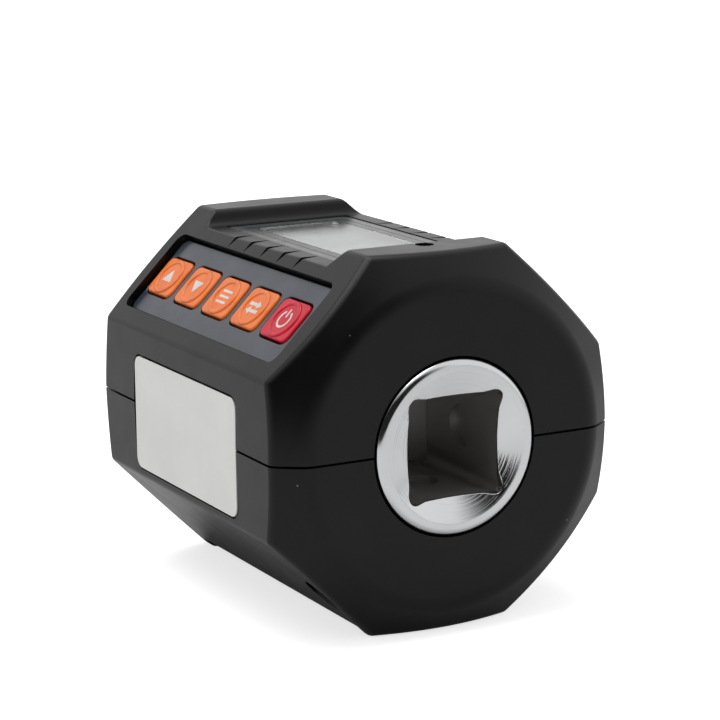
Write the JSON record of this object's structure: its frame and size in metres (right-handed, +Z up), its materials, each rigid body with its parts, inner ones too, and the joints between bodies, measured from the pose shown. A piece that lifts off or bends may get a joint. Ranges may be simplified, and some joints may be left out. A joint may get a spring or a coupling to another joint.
{
  "type": "digital torque adapter",
  "caption": "Octagonal electronic torque adapter with a square socket in front, a square drive behind, a display window and a row of keys.",
  "frame": {"origin": "middle of the part's box, at the height of the flat it rests on", "axes": "+Z up; the torque axis lies along Y, socket end facing -Y and male square +Y; +X is to the right of someone who looks into the socket"},
  "size_m": [0.0484, 0.0736, 0.0484],
  "materials": {
    "case": "satin black moulding, fine spark texture",
    "chrome": "bright chromium plate over turned steel",
    "steel": "nickelled, satin",
    "window": "clear, polished",
    "display": "grey green liquid crystal display, off",
    "strip_rubber": "matt",
    "board": "solder mask",
    "chip": "moulded, matt",
    "overlay": "glossy slate blue grey sheet",
    "red_key": "glossy red",
    "orange_key": "glossy orange",
    "label": "bare off-white film",
    "cell_jacket": "plain wrapped jacket",
    "gauge_foil": "amber polyimide over foil"
  },
  "bodies": {
    "case": {"upper_housing": "case", "lower_housing": "case", "torque_shaft": "chrome", "detent_spring": "steel", "cell_spring_front": "steel", "cell_spring_rear": "steel", "cell_link": "steel", "contact_left": "steel", "contact_right": "steel", "case_screw_left": "steel", "case_screw_right": "steel", "key_dome_1": "steel", "key_dome_2": "steel", "key_dome_3": "steel", "key_dome_4": "steel", "key_dome_5": "steel", "display_window": "window", "lcd_panel": "display", "lcd_strip_left": "strip_rubber", "lcd_strip_right": "strip_rubber", "main_board": "board", "keypad_board": "board", "controller_chip": "chip", "amplifier_chip": "chip", "buzzer": "chip", "keypad_overlay": "overlay", "side_label": "label", "cell_left": "cell_jacket", "cell_right": "cell_jacket", "strain_gauge_left": "gauge_foil", "strain_gauge_right": "gauge_foil"},
    "power_key": {"power_key": "red_key"},
    "key_2": {"key_2": "orange_key"},
    "key_3": {"key_3": "orange_key"},
    "key_4": {"key_4": "orange_key"},
    "key_5": {"key_5": "orange_key"},
    "battery_door": {"battery_door": "case"},
    "detent_ball": {"detent_ball": "steel"}
  },
  "joints": [
    {"name": "power_key_press", "type": "slide", "parent": "case", "child": "power_key", "axis": [0.7074, 0, -0.7069], "range_m": [0, 0.0004], "stiffness_N_per_m": 3000},
    {"name": "key_2_press", "type": "slide", "parent": "case", "child": "key_2", "axis": [0.7074, 0, -0.7069], "range_m": [0, 0.0004], "stiffness_N_per_m": 3000},
    {"name": "key_3_press", "type": "slide", "parent": "case", "child": "key_3", "axis": [0.7074, 0, -0.7069], "range_m": [0, 0.0004], "stiffness_N_per_m": 3000},
    {"name": "key_4_press", "type": "slide", "parent": "case", "child": "key_4", "axis": [0.7074, 0, -0.7069], "range_m": [0, 0.0004], "stiffness_N_per_m": 3000},
    {"name": "key_5_press", "type": "slide", "parent": "case", "child": "key_5", "axis": [0.7074, 0, -0.7069], "range_m": [0, 0.0004], "stiffness_N_per_m": 3000},
    {"name": "battery_door_hinge", "type": "hinge", "parent": "case", "child": "battery_door", "pos_m": [0, -0.03064, 0.0003], "axis": [-1, 0, 0], "range_deg": [0, 70]},
    {"name": "detent_ball_press", "type": "slide", "parent": "case", "child": "detent_ball", "axis": [0, 0, -1], "range_m": [0, 0.0008], "stiffness_N_per_m": 1500, "deforming": ["detent_spring"]}
  ]
}
